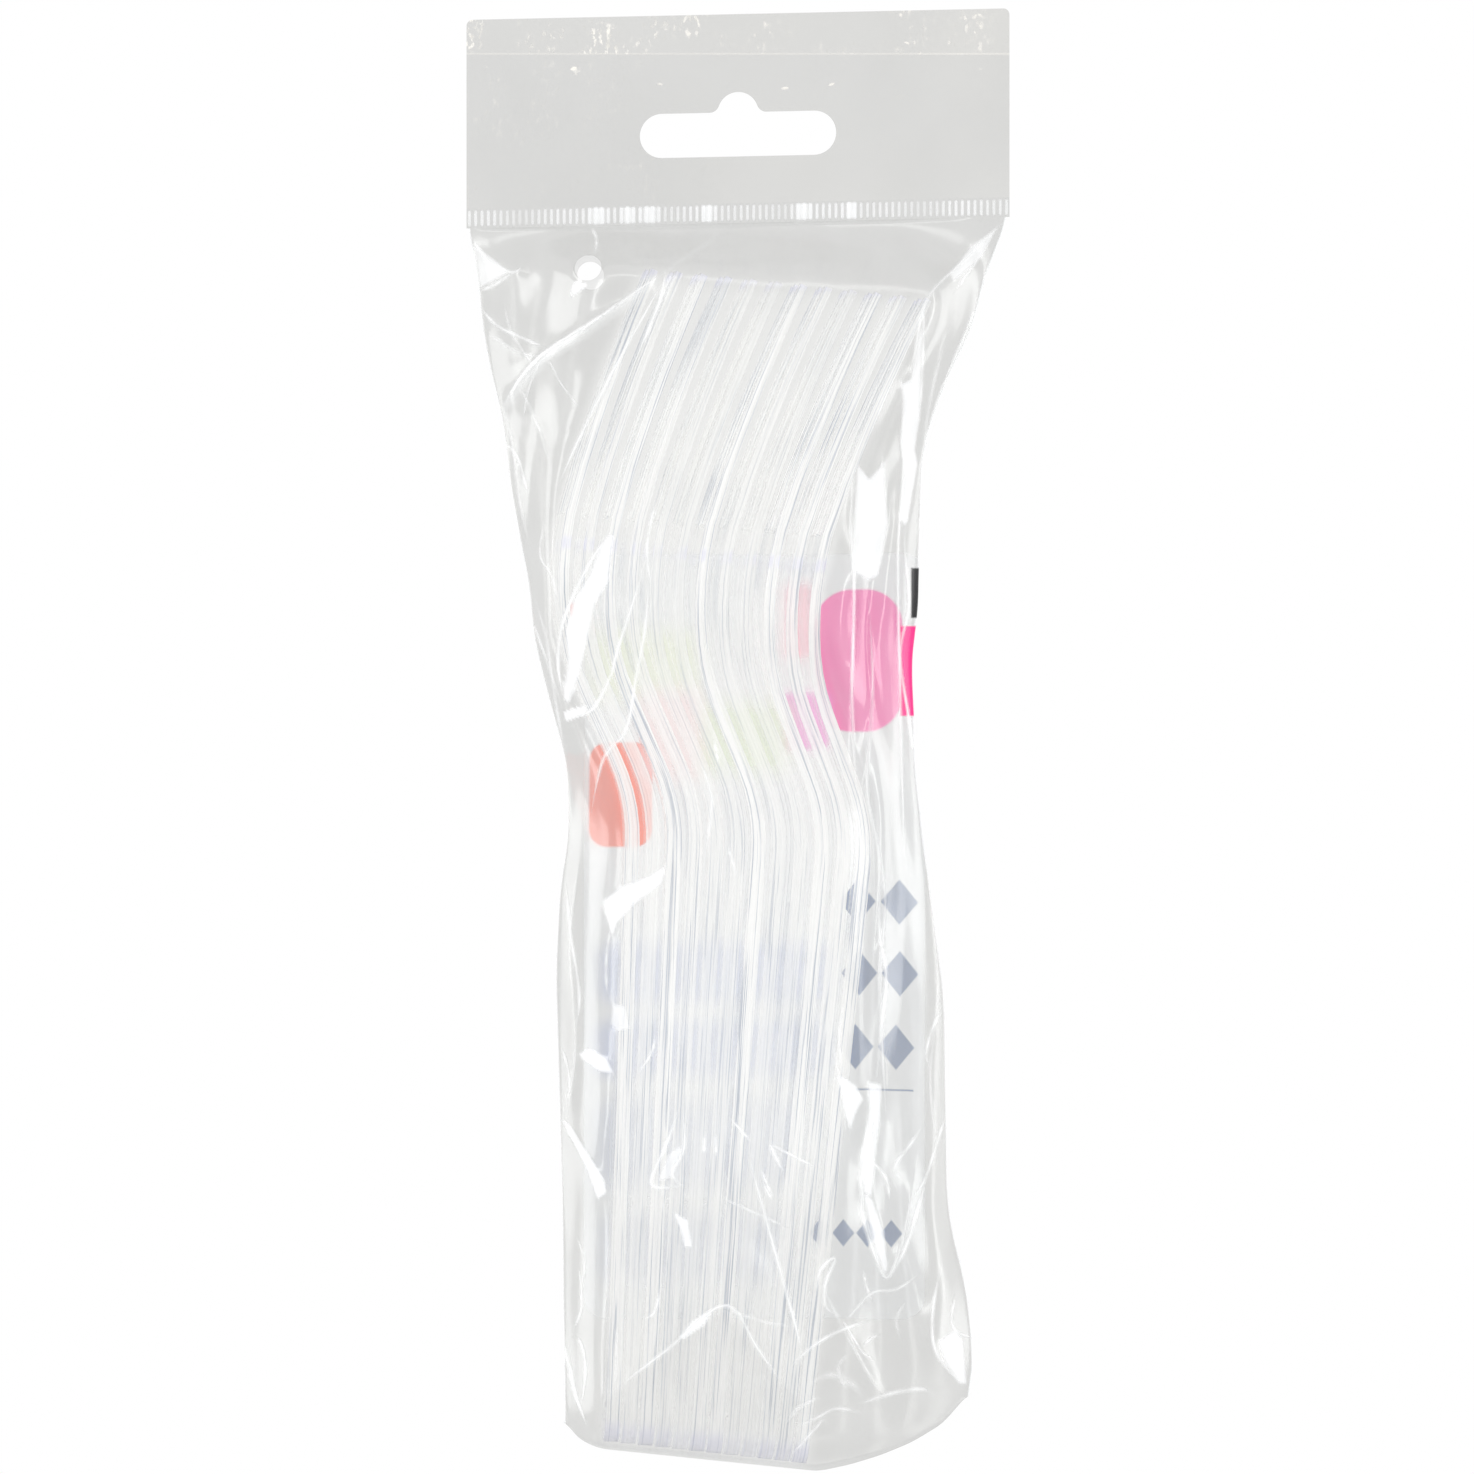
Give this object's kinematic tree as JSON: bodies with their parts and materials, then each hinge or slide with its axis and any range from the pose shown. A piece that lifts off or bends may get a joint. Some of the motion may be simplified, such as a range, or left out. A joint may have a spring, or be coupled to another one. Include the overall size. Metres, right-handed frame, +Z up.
{
  "type": "cutlery pack",
  "caption": "Clear plastic forks nested in a fanned stack inside a clear film header bag, with a welded seam, a vent hole and a hang slot in the header",
  "frame": {"origin": "top middle of the hang slot, where the bag bears on a display hook, in the plane of the flat header", "axes": "+Z up as the pack hangs, +X to the right seen from the unprinted side, +Y from the unprinted wall to the printed wall"},
  "size_m": [0.0886, 0.0354, 0.237],
  "materials": {
    "fork_plastic": "clear moulded polystyrene, glossy",
    "bag_film": "clear thin polypropylene film, glossy, creased"
  },
  "bodies": {
    "root": {"fork_01": "fork_plastic", "fork_02": "fork_plastic", "fork_03": "fork_plastic", "fork_04": "fork_plastic", "fork_05": "fork_plastic", "fork_06": "fork_plastic", "fork_07": "fork_plastic", "fork_08": "fork_plastic", "fork_09": "fork_plastic", "fork_10": "fork_plastic", "fork_11": "fork_plastic", "fork_12": "fork_plastic", "header_bag": "bag_film"}
  },
  "joints": []
}
